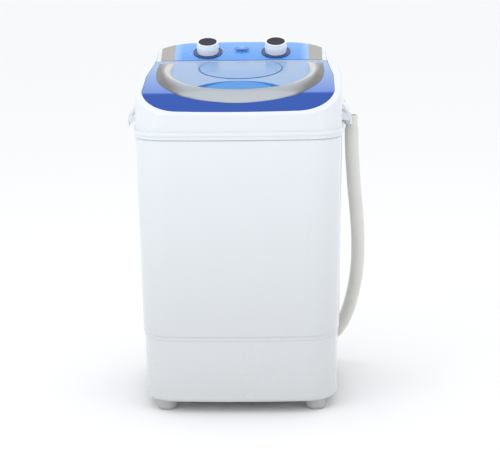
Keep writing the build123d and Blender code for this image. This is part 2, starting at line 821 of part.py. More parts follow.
# ---------------------------------------------------------------- drain valve
valve_foot_z = drain_z - spout_radius - 2.0
seat_z = drain_z + spout_radius + 16.0
valve_top_z = seat_z + 54.0
inlet_z = seat_z + 18.0
valve_wall = 2.0
seat_hole_radius = 9.0
inlet_turn = math.degrees(math.atan2(sump_y - valve_y, sump_x - valve_x))
inlet_length = math.hypot(sump_y - valve_y, sump_x - valve_x)
inlet_plane = Plane((valve_x, valve_y, inlet_z), (0, 0, 1), (sump_x - valve_x, sump_y - valve_y, 0))
spout_face_y = valve_y + valve_radius + 5.0
with BuildPart() as drain_valve_body:
    with BuildSketch(Plane.XY.offset(valve_foot_z)):
        with Locations((valve_x, valve_y)):
            Circle(valve_radius)
    extrude(amount=valve_top_z - valve_foot_z)
    with BuildSketch(inlet_plane):
        Circle(sump_radius + valve_wall)
    extrude(amount=inlet_length)
    with BuildSketch(Plane.XY.offset(inlet_z - sump_radius - valve_wall)):
        with Locations((sump_x, sump_y)):
            Circle(sump_radius + valve_wall)
    extrude(amount=tub_under_z - inlet_z + sump_radius + valve_wall)
    with BuildSketch(Plane.XZ.offset(-valve_y)):
        with Locations((valve_x, drain_z)):
            Circle(spout_radius)
    extrude(amount=valve_y - spout_face_y)
    # bores
    for low, high in ((valve_foot_z + valve_wall, seat_z - valve_wall), (seat_z, valve_top_z)):
        with BuildSketch(Plane.XY.offset(low)):
            with Locations((valve_x, valve_y)):
                Circle(valve_radius - valve_wall)
        extrude(amount=high - low, mode=Mode.SUBTRACT)
    with BuildSketch(Plane.XY.offset(seat_z - valve_wall)):
        with Locations((valve_x, valve_y)):
            Circle(seat_hole_radius)
    extrude(amount=valve_wall, mode=Mode.SUBTRACT)
    with BuildSketch(inlet_plane.offset(valve_radius - valve_wall - 1.0)):
        Circle(sump_radius)
    extrude(amount=inlet_length - valve_radius + valve_wall + 1.0, mode=Mode.SUBTRACT)
    with BuildSketch(Plane.XY.offset(inlet_z)):
        with Locations((sump_x, sump_y)):
            Circle(sump_radius)
    extrude(amount=tub_under_z - inlet_z, mode=Mode.SUBTRACT)
    with BuildSketch(Plane.XZ.offset(-spout_face_y)):
        with Locations((valve_x, drain_z)):
            Circle(spout_radius - valve_wall)
    extrude(amount=8.0 + valve_wall, mode=Mode.SUBTRACT)
save(drain_valve_body, "drain_valve_body")

rod_radius = 2.0
with BuildPart() as valve_cap:
    with BuildSketch(Plane.XY.offset(valve_top_z)):
        with Locations((valve_x, valve_y)):
            Circle(valve_radius)
            Circle(rod_radius + running_gap, mode=Mode.SUBTRACT)
    extrude(amount=4.0)
    with BuildSketch(Plane.XY.offset(valve_top_z - 6.0)):
        with Locations((valve_x, valve_y)):
            Circle(valve_radius - valve_wall)
            Circle(valve_radius - 2 * valve_wall, mode=Mode.SUBTRACT)
    extrude(amount=6.0)
save(valve_cap, "valve_cap")

strap_top_z = hinge_z - 40.0
plunger_height = 12.0
with BuildPart() as valve_plunger:
    with BuildSketch(Plane.XY.offset(seat_z)):
        with Locations((valve_x, valve_y)):
            Circle(seat_hole_radius + 3.0)
    extrude(amount=plunger_height)
    fillet(valve_plunger.faces().sort_by(Axis.Z)[-1].edges(), 2.0)
save(valve_plunger, "valve_plunger")

with BuildPart() as valve_rod:
    with BuildSketch(Plane.XY.offset(seat_z + plunger_height)):
        with Locations((valve_x, valve_y)):
            Circle(rod_radius)
    extrude(amount=strap_top_z - seat_z - plunger_height)
    # eye for the cord of the selector
    with BuildSketch(Plane.XZ.offset(-valve_y - 1.5)):
        with Locations((valve_x, strap_top_z + 3.0)):
            RectangleRounded(11.0, 13.0, 3.0)
        with Locations((valve_x, strap_top_z + 4.0)):
            Circle(2.5, mode=Mode.SUBTRACT)
    extrude(amount=3.0)
save(valve_rod, "valve_rod")

spring_radius = 6.0
spring_wire = 0.8
spring_foot = seat_z + plunger_height + spring_wire
spring_length = valve_top_z - spring_wire - spring_foot
with BuildPart() as valve_spring:
    with BuildLine() as coil:
        Helix(spring_length / 5, spring_length, spring_radius, center=(valve_x, valve_y, spring_foot))
    with BuildSketch(Plane(coil.line @ 0, z_dir=coil.line % 0)):
        Circle(spring_wire)
    sweep(is_frenet=True)
save(valve_spring, "valve_spring")

# ---------------------------------------------------------------- lid
hinge_sweep = hinge_drop  # the back edge of the lid is an arc about the hinge axis
with BuildPart() as hinge_side:
    with BuildSketch(Plane.XY.offset(0)):
        with Locations((0, hinge_y - body_depth)):
            Rectangle(2 * body_width, 2 * body_depth)
    extrude(amount=2 * over_z)
    with BuildSketch(Plane.YZ.offset(-body_width)):
        with Locations((hinge_y, hinge_z)):
            Circle(hinge_sweep)
    extrude(amount=2 * body_width)

knuckle_half = hinge_knuckle_length / 2
knuckle_starts = [side * hinge_knuckle_x - knuckle_half for side in (-1, 1)]
emboss_radius = 75.0
emboss_y = hinge_y - 49.0
emboss_height = 0.7
scoop_radius = 90.0
scoop_back_y = emboss_y - emboss_radius - 14.0  # back of the finger scoop
scoop_angle = 7.0  # steeper than the deck
scoop_wall = 2.2


def scoop_face(shrink):
    """Lens between the scoop's back arc and the front of the ring."""
    with BuildSketch(Plane.XY, mode=Mode.PRIVATE) as face:
        with Locations((0, scoop_back_y - scoop_radius)):
            Circle(scoop_radius - shrink)
        with Locations((0, scoop_back_y + 28.0)):
            Circle(108.0 - shrink, mode=Mode.INTERSECT)
    return face.sketch


def scoop_space(drop):
    """Everything under the scoop's floor, which tips forward more than the deck."""
    far = body_depth
    start_z = deck_z(scoop_back_y) - drop
    slope = tan(deck_angle + scoop_angle)
    with BuildPart() as space:
        with BuildSketch(Plane.YZ.offset(-body_width)):
            with BuildLine():
                Polyline(
                    (scoop_back_y + 5.0, start_z + 5.0 * slope),
                    (scoop_back_y - far, start_z - far * slope),
                    (scoop_back_y - far, -far),
                    (scoop_back_y + 5.0, -far),
                    close=True,
                )
            make_face()
        extrude(amount=2 * body_width)
    return space.part


scoop_level = scoop_space(0.3)
scoop_underside = scoop_space(0.3 + scoop_wall)

with BuildPart() as scoop_pan:
    extrude(scoop_face(-scoop_wall), amount=over_z)
    add(deck_level, mode=Mode.INTERSECT)
    add(scoop_underside, mode=Mode.SUBTRACT)

with BuildPart() as scoop_hollow:
    extrude(scoop_face(0.0), amount=over_z)
    add(scoop_level, mode=Mode.SUBTRACT)

with BuildPart() as emboss:
    with BuildSketch(Plane.XY):
        with Locations((0, emboss_y)):
            Circle(emboss_radius)
    extrude(amount=over_z)
    add(deck_space(-emboss_height), mode=Mode.INTERSECT)
    add(lid_underside, mode=Mode.SUBTRACT)
    with BuildSketch(Plane.XY):
        with Locations((0, hinge_y)):
            Rectangle(4 * emboss_radius, 12.0)
    extrude(amount=over_z, mode=Mode.SUBTRACT)
    with BuildSketch(Plane.XY):
        with Locations((0, hinge_y + 2 * emboss_radius)):
            Rectangle(4 * emboss_radius, 4 * emboss_radius)
    extrude(amount=over_z, mode=Mode.SUBTRACT)

# the control panel's hinge ears stand beside the knuckles, in notches of the lid's back edge
ear_starts = []
for side in (-1, 1):
    ear_starts.append(side * hinge_knuckle_x - knuckle_half - ear_gap - ear_thickness)
    ear_starts.append(side * hinge_knuckle_x + knuckle_half + ear_gap)

with BuildPart() as lid_panel:
    extrude(lid_outline(0.0), amount=over_z)
    add(deck_level, mode=Mode.INTERSECT)
    add(lid_underside, mode=Mode.SUBTRACT)
    add(hinge_side, mode=Mode.INTERSECT)
    for x in ear_starts:
        with BuildSketch(Plane.XY.offset(hinge_z)):
            with Locations((x + ear_thickness / 2, hinge_y + 3.0)):
                Rectangle(ear_thickness + 2 * ear_gap, 16.0)
        extrude(amount=4 * hinge_drop, mode=Mode.SUBTRACT)
    add(scoop_pan)
    add(scoop_hollow, mode=Mode.SUBTRACT)
    add(emboss)
    for x in knuckle_starts:
        with BuildSketch(Plane.YZ.offset(x)):
            with Locations((hinge_y, hinge_z)):
                Circle(hinge_knuckle_radius)
        extrude(amount=hinge_knuckle_length)
        with BuildSketch(Plane.YZ.offset(x)):
            with BuildLine():
                Polyline(
                    (hinge_y - hinge_knuckle_radius, hinge_z),
                    (hinge_y + hinge_knuckle_radius, hinge_z),
                    (hinge_y + hinge_knuckle_radius - 0.4, deck_z(hinge_y) - lid_thickness * 0.6),
                    (hinge_y - hinge_knuckle_radius, deck_z(hinge_y) - lid_thickness),
                    close=True,
                )
            make_face()
        extrude(amount=hinge_knuckle_length)
        with BuildSketch(Plane.YZ.offset(x)):
            with Locations((hinge_y, hinge_z)):
                Circle(hinge_pin_radius)
        extrude(amount=hinge_knuckle_length, mode=Mode.SUBTRACT)
save(lid_panel, "lid_panel")

pin_reach = knuckle_half + 0.6 + ear_thickness
with BuildPart() as hinge_pins:
    for side in (-1, 1):
        with BuildSketch(Plane.YZ.offset(side * hinge_knuckle_x - pin_reach)):
            with Locations((hinge_y, hinge_z)):
                Circle(hinge_pin_radius)
        extrude(amount=2 * pin_reach)
save(hinge_pins, "hinge_pins")

# raised silver ring: an open horseshoe whose arms run back to the hinge
ring_back_y = hinge_y - 13.0
ring_rise_front = 5.5
ring_rise_back = 1.2
ring_inner_rise = 0.9
ring_sink = 1.5  # how deep the ring's foot starts below the deck before it is trimmed off
ring_sections = 32
ring_climb_steps = 4  # straight pieces from the outer foot up to the crest


def from_corner(points):
    """Points given as distances in from the body's side and front, turned into plan places."""
    return [(half_width - side, -half_depth + front) for side, front in points]


# right hand half of each edge of the ring, from the hinge round to the middle of the front
ring_outer = [(half_width - 36.0, ring_back_y)] + from_corner(
    [
        (34.5, 215.0),
        (38.0, 165.0),
        (48.5, 122.0),
        (75.0, 69.0),
        (103.0, 53.0),
        (140.0, 43.0),
        (half_width, 38.0),
    ]
)
ring_inner = [(half_width - 63.0, ring_back_y)] + from_corner(
    [(60.0, 215.0), (69.0, 170.0), (87.0, 135.0), (113.0, 105.0), (145.0, 86.0), (half_width, 78.0)]
)


def horseshoe(half_points):
    """Smooth open line through the half points and their mirror images."""
    whole = half_points + [(-x, y) for x, y in reversed(half_points[:-1])]
    with BuildLine() as line:
        Spline(*whole, tangents=((0, -1), (0, 1)))
    return line.line


ring_outer_line = horseshoe(ring_outer)
ring_inner_line = horseshoe(ring_inner)


def ring_section(share):
    """Cross section of the ring: outer foot, rounded climb, crest and inner edge, in one upright plane."""
    outer = ring_outer_line @ share
    inner = ring_inner_line @ share
    nearness = math.sin(math.pi * share)  # 0 at the hinge, 1 at the front
    crest = outer + (inner - outer) * (0.5 + 0.22 * nearness)
    crest_rise = ring_rise_back + (ring_rise_front - ring_rise_back) * min(1.0, 2.0 * nearness)
    points = [(outer.X, outer.Y, deck_z(outer.Y) - ring_sink)]
    for step in range(ring_climb_steps + 1):
        climb = step / ring_climb_steps
        place = outer + (crest - outer) * climb
        rise = 0.2 + (crest_rise - 0.2) * math.sin(math.pi / 2 * climb)
        points.append((place.X, place.Y, deck_z(place.Y) + rise))
    points.append((inner.X, inner.Y, deck_z(inner.Y) + ring_inner_rise))
    points.append((inner.X, inner.Y, deck_z(inner.Y) - ring_sink))
    return make_face(Polyline(*points, close=True))


ring_faces = [ring_section(step / ring_sections) for step in range(ring_sections + 1)]
with BuildPart() as lid_ring:
    loft(ring_faces, ruled=True)
    add(deck_level, mode=Mode.SUBTRACT)
save(lid_ring, "lid_ring")

# ---------------------------------------------------------------- control panel
panel_top_y = half_depth - collar_top_inset * 0.9
knob_y = (panel_y + panel_top_y) / 2 - knob_forward
knob_z = deck_z(knob_y)
knob_points = {"timer": -knob_spacing / 2, "selector": knob_spacing / 2}


def panel_plane(x, lift=0.0):
    """Plane on the panel's surface at a knob, its normal square to the panel."""
    surface = Plane((x, knob_y, knob_z), (1, 0, 0), (0, -tan(panel_angle), 1))
    return surface.offset(lift)


with BuildPart() as collar_hull:
    loft([outline(band_z, collar_inset), outline(over_z, collar_top_inset, 0.0, deck_corner_radius)])

front_wall_drop = 15.0
with BuildPart() as panel_front:
    with BuildSketch(Plane.XY.offset(band_z)):
        with Locations((0, panel_y + 1.3)):
            Rectangle(2 * switch_bay_half - 1.0, 2.4)
    extrude(amount=over_z)
    add(lid_underside, mode=Mode.INTERSECT)
    add(deck_space(lid_thickness + front_wall_drop), mode=Mode.SUBTRACT)

with BuildPart() as control_panel:
    extrude(panel_outline(0.0, panel_y + 0.1, panel_back_y), amount=over_z)
    add(deck_level, mode=Mode.INTERSECT)
    add(lid_underside, mode=Mode.SUBTRACT)
    add(collar_hull, mode=Mode.INTERSECT)
    add(panel_front)
    for x in ear_starts:
        with BuildSketch(Plane.YZ.offset(x)):
            with Locations((hinge_y, hinge_z)):
                Circle(hinge_ear_radius)
            with BuildLine():
                Polyline(
                    (hinge_y, hinge_z + hinge_ear_radius),
                    (panel_y + 0.5, hinge_z + hinge_ear_radius),
                    (panel_y + 0.5, hinge_z - hinge_ear_radius),
                    (hinge_y, hinge_z - hinge_ear_radius),
                    close=True,
                )
            make_face()
        extrude(amount=ear_thickness)
        with BuildSketch(Plane.YZ.offset(x)):
            with Locations((hinge_y, hinge_z)):
                Circle(hinge_pin_radius + running_gap)
        extrude(amount=ear_thickness, mode=Mode.SUBTRACT)
    for x in knob_points.values():
        with BuildSketch(panel_plane(x, 20.0)):
            Circle(spindle_radius + 4.0)
        extrude(amount=-60.0, mode=Mode.SUBTRACT)
save(control_panel, "control_panel")


def raised_skin(left, right, front_y, thickness):
    """Thin plate lying on the panel, following its slope to the back edge."""
    with BuildPart() as skin:
        with BuildSketch(Plane.XY):
            with Locations(((left + right) / 2, (front_y + panel_back_y) / 2)):
                Rectangle(right - left, panel_back_y - front_y)
        extrude(amount=over_z)
        add(deck_space(-thickness), mode=Mode.INTERSECT)
        add(deck_level, mode=Mode.SUBTRACT)
        add(collar_hull, mode=Mode.INTERSECT)
    return skin.part


with BuildPart() as panel_overlay:
    add(raised_skin(-overlay_half_width, overlay_half_width, panel_y + 0.6, overlay_thickness))
    for x in knob_points.values():
        with BuildSketch(panel_plane(x, 20.0)):
            Circle(spindle_radius + 4.0)
        extrude(amount=-60.0, mode=Mode.SUBTRACT)
save(panel_overlay, "panel_overlay")

with BuildPart() as trim_strip_left:
    add(raised_skin(-overlay_half_width - trim_width, -overlay_half_width, panel_y + 0.6, trim_thickness))
save(trim_strip_left, "trim_strip_left")

with BuildPart() as trim_strip_right:
    add(raised_skin(overlay_half_width, overlay_half_width + trim_width, panel_y + 0.6, trim_thickness))
save(trim_strip_right, "trim_strip_right")

with BuildPart() as badge:
    with BuildSketch(panel_plane(0.0, overlay_thickness).move(Location((0, 9.0, 9.0 * tan(panel_angle))))):
        Ellipse(13.5, 7.0)
    extrude(amount=1.0)
save(badge, "badge")

for knob_name, knob_x in knob_points.items():
    top_of_overlay = panel_plane(knob_x, overlay_thickness)
    with BuildPart() as bezel:
        with BuildSketch(top_of_overlay):
            Circle(bezel_radius)
            Circle(spindle_radius + 5.0, mode=Mode.SUBTRACT)
        extrude(amount=bezel_height)
        fillet(bezel.edges().filter_by(GeomType.CIRCLE).sort_by(SortBy.RADIUS)[-2:], bezel_height * 0.3)
    save(bezel, knob_name + "_bezel")

    # switch block under the panel, with a bush through the panel
    with BuildPart() as switch:
        with BuildSketch(panel_plane(knob_x, -lid_thickness - 0.1)):
            RectangleRounded(switch_width, switch_depth, 3.0)
        extrude(amount=-switch_height)
        with BuildSketch(panel_plane(knob_x, -lid_thickness - 0.1)):
            Circle(spindle_radius + 3.6)
        extrude(amount=lid_thickness + overlay_thickness + 0.1)
        with BuildSketch(panel_plane(knob_x, overlay_thickness)):
            Circle(spindle_radius + running_gap)
        extrude(amount=-lid_thickness - overlay_thickness - 14.0, mode=Mode.SUBTRACT)
        with BuildSketch(panel_plane(knob_x, -lid_thickness - 0.1 - switch_height)):
            with GridLocations(9.0, 20.0, 4, 1):
                Rectangle(5.0, 0.9)
        extrude(amount=-8.0)
    save(switch, knob_name + "_switch")

    with BuildPart() as spindle:
        with BuildSketch(panel_plane(knob_x, -lid_thickness - 12.0)):
            Circle(spindle_radius)
        extrude(amount=lid_thickness + 12.0 + overlay_thickness + knob_height - 4.0)
    save(spindle, knob_name + "_spindle")

    knob_foot = overlay_thickness + bezel_height + 0.3
    with BuildPart() as knob:
        with BuildSketch(panel_plane(knob_x, knob_foot)):
            Circle(knob_radius - 1.0)
        extrude(amount=knob_height * 0.55, taper=-4.0)
        with BuildSketch(panel_plane(knob_x, knob_foot + knob_height * 0.55)):
            Circle(knob_radius - 1.0 + knob_height * 0.55 * tan(4.0))
        extrude(amount=knob_height * 0.45, taper=10.0)
        with BuildSketch(panel_plane(knob_x, knob_foot)):
            with PolarLocations(knob_radius + 0.9, 20):
                Circle(1.6)
        extrude(amount=knob_height * 0.8, mode=Mode.SUBTRACT)
        with BuildSketch(panel_plane(knob_x, knob_foot)):
            Circle(knob_radius - 4.0)
            Circle(spindle_radius + 3.0, mode=Mode.SUBTRACT)
        extrude(amount=knob_height - 5.0, mode=Mode.SUBTRACT)
        with BuildSketch(panel_plane(knob_x, knob_foot + knob_height)):
            Circle(knob_cap_radius)
        extrude(amount=-1.6, mode=Mode.SUBTRACT)
        with BuildSketch(panel_plane(knob_x, knob_foot)):
            Circle(spindle_radius)
        extrude(amount=knob_height - 4.0 - bezel_height - 0.3, mode=Mode.SUBTRACT)
    save(knob, knob_name + "_knob")

    with BuildPart() as cap:
        with BuildSketch(panel_plane(knob_x, knob_foot + knob_height - 1.6)):
            Circle(knob_cap_radius)
        extrude(amount=1.0)
        with BuildSketch(panel_plane(knob_x, knob_foot + knob_height - 0.6)):
            with Locations((0, knob_cap_radius * 0.62)):
                SlotOverall(8.0, 1.8, rotation=90)
        extrude(amount=0.5)
    save(cap, knob_name + "_knob_cap")

with BuildPart() as electrics_cover:
    cover_top = deck_z(panel_y) - lid_thickness - front_wall_drop
    cover_floor = cover_top - 32.0
    cover_back = switch_bay_back - part_gap
    with BuildSketch(Plane.YZ.offset(-switch_bay_half + 0.5)):
        with BuildLine():
            Polyline(
                (panel_y + 0.1, cover_top),
                (panel_y + 2.5, cover_top),
                (panel_y + 2.5, cover_floor + 2.4),
                (cover_back, cover_floor + 2.4),
                (cover_back, cover_floor),
                (panel_y + 0.1, cover_floor),
                close=True,
            )
        make_face()
    extrude(amount=2 * switch_bay_half - 1.0)
    with BuildSketch(Plane.XY.offset(cover_floor - 1.0)):
        with Locations((valve_x, valve_y)):
            Circle(strap_hole + 4.0)
    extrude(amount=6.0, mode=Mode.SUBTRACT)
    loft(
        [
            outline(band_z - 1.0, collar_inset, wall + part_gap),
            outline(over_z, collar_top_inset, wall + part_gap, deck_corner_radius),
        ],
        mode=Mode.INTERSECT,
    )
save(electrics_cover, "electrics_cover")

# ---------------------------------------------------------------- side grips and hose holder
grip_wall = 3.2
grip_top_z = front_z - 1.0
grip_lip_z = bead_z + 2.0
grip_shoulder_z = grip_top_z - 18.0
wall_x = half_width - collar_inset
for side, grip_name in ((-1, "grip_left"), (1, "grip_right")):
    with BuildPart() as grip:
        with BuildSketch(Plane.XZ.offset(-grip_length / 2)):
            with BuildLine():
                Polyline(
                    (side * (wall_x - 6.0), grip_top_z + 3.0),
                    (side * (wall_x + 1.0), grip_top_z),
                    (side * (wall_x + grip_reach - 2.0), grip_shoulder_z + 2.0),
                    (side * (wall_x + grip_reach), grip_shoulder_z - 3.0),
                    (side * (wall_x + grip_reach), grip_lip_z),
                    (side * (wall_x + grip_reach - grip_wall), grip_lip_z),
                    (side * (wall_x + grip_reach - grip_wall), grip_shoulder_z - 5.0),
                    (side * (wall_x + 1.0), grip_top_z - 8.0),
                    (side * (wall_x - 6.0), grip_top_z - 8.0),
                    close=True,
                )
            make_face()
        extrude(amount=grip_length)
        outer = grip.edges().filter_by(Axis.Z).filter_by(
            lambda e: abs(e.center().X) > wall_x + grip_reach - 0.1 and e.length > 1.0
        )
        fillet(outer, 3.0)
        for end in (-1, 1):
            with BuildSketch(Plane.XZ.offset(-end * (grip_length / 2 - grip_wall / 2) - grip_wall / 2)):
                with BuildLine():
                    Polyline(
                        (side * (wall_x - 6.0), grip_top_z - 4.0),
                        (side * (wall_x + grip_reach - grip_wall - 0.5), grip_shoulder_z - 3.0),
                        (side * (wall_x + grip_reach - grip_wall - 0.5), grip_lip_z + 6.0),
                        (side * (wall_x - 6.0), grip_lip_z + 8.0),
                        close=True,
                    )
                make_face()
            extrude(amount=grip_wall)
        add(collar_hull, mode=Mode.SUBTRACT)
        add(bead, mode=Mode.SUBTRACT)
    save(grip, grip_name)

nozzle_x = half_width + hose_diameter / 2 + 3.1
nozzle_y = grip_length / 2 + nozzle_radius + 1.5
nozzle_foot_z = flange_z - 14.0
nozzle_top_z = nozzle_foot_z + 26.0
clip_height = 10.0
clip_z = nozzle_foot_z + 10.0
clip_wall = 2.4
with BuildPart() as hose_holder:
    with BuildSketch(Plane.XZ.offset(-nozzle_y + 3.0)):
        with BuildLine():
            Polyline(
                (wall_x - 6.0, front_z - 6.0),
                (wall_x + 7.0, front_z - 6.0),
                (wall_x + 7.0, front_z - 15.0),
                (wall_x + 4.0, band_z + 4.0),
                (wall_x - 6.0, band_z + 4.0),
                close=True,
            )
        make_face()
    extrude(amount=-6.0)
    with BuildSketch(Plane.XY.offset(clip_z)):
        with Locations((nozzle_x, nozzle_y)):
            Circle(nozzle_radius + clip_wall)
            Circle(nozzle_radius + 0.1, mode=Mode.SUBTRACT)
        with Locations((nozzle_x + 2.0 + nozzle_radius, nozzle_y)):
            Rectangle(2 * nozzle_radius, 4 * nozzle_radius, mode=Mode.SUBTRACT)
    extrude(amount=clip_height)
    with BuildSketch(Plane.XY.offset(clip_z)):
        with Locations(((wall_x + nozzle_x - nozzle_radius) / 2 - 3.5, nozzle_y)):
            Rectangle(nozzle_x - nozzle_radius - wall_x + 5.0, 8.0)
    extrude(amount=clip_height)
    with BuildSketch(Plane.XZ.offset(-nozzle_y + 3.0)):
        with BuildLine():
            Polyline(
                (wall_x - 6.0, clip_z),
                (nozzle_x - nozzle_radius - 0.6, clip_z),
                (nozzle_x - nozzle_radius - 0.6, clip_z + clip_height),
                (wall_x + 4.0, band_z + 5.0),
                (wall_x - 6.0, band_z + 5.0),
                close=True,
            )
        make_face()
    extrude(amount=-6.0)
    add(collar_hull, mode=Mode.SUBTRACT)
    add(collar_foot, mode=Mode.SUBTRACT)
    add(cabinet_shell, mode=Mode.SUBTRACT)
    with BuildSketch(Plane.XY.offset(cabinet_z)):
        with Locations((0, nozzle_y)):
            Rectangle(2 * (half_width - cabinet_top_inset + 0.6), 4 * nozzle_radius)
    extrude(amount=cabinet_height + flange_thickness, mode=Mode.SUBTRACT)
save(hose_holder, "hose_holder")

# ---------------------------------------------------------------- drain elbow, hose and nozzle
elbow_y = half_depth + 2.5
hose_start_x = valve_x + 18.0
hose_points = [
    (hose_start_x, elbow_y, drain_z),
    (hose_start_x + 24.0, elbow_y, drain_z + 3.5),
    (hose_start_x + 47.0, elbow_y - 1.5, drain_z + 12.5),
    (hose_start_x + 67.5, elbow_y - 6.0, drain_z + 27.5),
    (hose_start_x + 83.0, elbow_y - 12.5, drain_z + 48.5),
    (hose_start_x + 94.5, elbow_y - 21.0, drain_z + 77.0),
    (hose_start_x + 104.0, elbow_y - 33.5, drain_z + 115.0),
    (hose_start_x + 110.5, elbow_y - 48.0, drain_z + 157.0),
    (hose_start_x + 112.5, elbow_y - 63.5, drain_z + 200.0),
    (hose_start_x + 111.5, elbow_y - 78.0, drain_z + 243.0),
    (hose_start_x + 108.0, elbow_y - 92.0, drain_z + 288.0),
    (hose_start_x + 103.5, elbow_y - 105.0, drain_z + 334.0),
    (hose_start_x + 100.0, nozzle_y + 4.5, drain_z + 384.0),
    (nozzle_x, nozzle_y, nozzle_foot_z - 24.0),
    (nozzle_x, nozzle_y, nozzle_foot_z),
]


def corner_radii(points):
    """Largest tangent arc that the two runs beside each corner allow."""
    radii = []
    for before, here, after in zip(points, points[1:], points[2:]):
        run_in = Vector(*here) - Vector(*before)
        run_out = Vector(*after) - Vector(*here)
        half_turn = math.radians(run_in.get_angle(run_out) / 2)
        radii.append(0.45 * min(run_in.length, run_out.length) / math.tan(half_turn))
    return radii


hose_radii = corner_radii(hose_points)
print("hose radii", [round(radius) for radius in hose_radii])
hose_direction = Vector(*hose_points[1]) - Vector(*hose_points[0])
with BuildPart() as drain_hose:
    with BuildLine() as hose_path:
        FilletPolyline(*hose_points, radius=hose_radii)
    with BuildSketch(Plane(hose_points[0], z_dir=hose_direction)):
        Circle(hose_diameter / 2)
    sweep()
section = math.pi * (hose_diameter / 2) ** 2
hose_length = sum(edge.length for edge in hose_path.edges())
print("hose length", round(hose_length, 1))
print("hose volume ratio", round(drain_hose.part.volume / section / hose_length, 4))
save(drain_hose, "drain_hose")

elbow_radius = spout_radius + 2.5
elbow_start_y = spout_face_y
with BuildPart() as drain_elbow:
    hub_plane = Plane((valve_x, elbow_start_y, drain_z), (1, 0, 0), (0, 1, 0))
    with BuildSketch(hub_plane):
        Circle(spout_radius)
    extrude(amount=elbow_y - elbow_start_y - 4.0)
    with BuildSketch(hub_plane.offset(elbow_y - elbow_start_y - elbow_radius - 1.5)):
        Circle(elbow_radius)
    extrude(amount=elbow_radius + 1.5)
    with Locations((valve_x, elbow_y, drain_z)):
        Sphere(elbow_radius)
    with BuildSketch(Plane((valve_x, elbow_y, drain_z), (0, 1, 0), (1, 0, 0))):
        Circle(elbow_radius)
    extrude(amount=hose_start_x - valve_x - 1.0)
    with BuildSketch(hub_plane):
        Circle(spout_radius - 2.5)
    extrude(amount=elbow_y - elbow_start_y, mode=Mode.SUBTRACT)
    with BuildSketch(Plane(hose_points[0], z_dir=hose_direction)):
        Rectangle(3 * elbow_radius, 3 * elbow_radius)
    extrude(amount=20.0, mode=Mode.SUBTRACT)
    with BuildSketch(Plane(hose_points[0], z_dir=-hose_direction)):
        Circle(elbow_radius)
    extrude(amount=6.0)
save(drain_elbow, "drain_elbow")

with BuildPart() as hose_nozzle:
    with BuildSketch(Plane.XY.offset(nozzle_foot_z)):
        with Locations((nozzle_x, nozzle_y)):
            Circle(hose_diameter / 2 - 0.2)
    extrude(amount=3.0)
    with BuildSketch(Plane.XY.offset(nozzle_foot_z)):
        with Locations((nozzle_x, nozzle_y)):
            Circle(nozzle_radius)
    extrude(amount=nozzle_top_z - nozzle_foot_z)
    with BuildSketch(Plane.XY.offset(nozzle_foot_z + 2.0)):
        with Locations((nozzle_x, nozzle_y)):
            Circle(nozzle_radius - 2.2)
    extrude(amount=nozzle_top_z - nozzle_foot_z, mode=Mode.SUBTRACT)
save(hose_nozzle, "hose_nozzle")
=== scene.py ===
import bpy
import json
import math
from mathutils import Matrix, Vector


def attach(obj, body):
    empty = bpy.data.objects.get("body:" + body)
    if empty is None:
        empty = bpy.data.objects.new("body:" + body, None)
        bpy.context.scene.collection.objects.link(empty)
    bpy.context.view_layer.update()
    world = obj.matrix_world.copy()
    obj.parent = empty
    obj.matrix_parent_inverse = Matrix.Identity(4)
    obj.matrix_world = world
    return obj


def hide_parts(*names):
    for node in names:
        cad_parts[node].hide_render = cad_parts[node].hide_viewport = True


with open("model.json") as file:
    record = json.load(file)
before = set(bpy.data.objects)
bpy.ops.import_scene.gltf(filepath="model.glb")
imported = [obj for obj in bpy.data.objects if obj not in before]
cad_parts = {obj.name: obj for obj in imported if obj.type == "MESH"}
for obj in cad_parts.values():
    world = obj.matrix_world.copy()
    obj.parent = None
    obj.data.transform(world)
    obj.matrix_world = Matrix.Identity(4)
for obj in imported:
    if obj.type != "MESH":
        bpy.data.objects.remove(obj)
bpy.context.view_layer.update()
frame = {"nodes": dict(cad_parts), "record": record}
scene = bpy.context.scene

# ------------------------------------------------------------------ camera
# A long lens from a little above, just to the right of the machine's middle
target = Vector((0.0151, 0.0, 0.303))
CAMERA_DISTANCE = 3.2
turn, pitch, roll = math.radians(1.55), math.radians(10.90), math.radians(-0.66)
forward = Vector((-math.sin(turn) * math.cos(pitch), math.cos(turn) * math.cos(pitch), -math.sin(pitch)))
level_right = Vector((math.cos(turn), math.sin(turn), 0.0))
level_up = level_right.cross(forward)
right = math.cos(roll) * level_right + math.sin(roll) * level_up
up = -math.sin(roll) * level_right + math.cos(roll) * level_up
camera_data = bpy.data.cameras.new("camera")
camera_data.sensor_width = 36.0
camera_data.lens = 127.44
camera_data.clip_end = 200.0
camera = bpy.data.objects.new("camera", camera_data)
scene.collection.objects.link(camera)
place = target - forward * CAMERA_DISTANCE
camera.matrix_world = Matrix(
    (
        (right.x, up.x, -forward.x, place.x),
        (right.y, up.y, -forward.y, place.y),
        (right.z, up.z, -forward.z, place.z),
        (0.0, 0.0, 0.0, 1.0),
    )
)
scene.camera = camera
scene.view_settings.view_transform = "Standard"


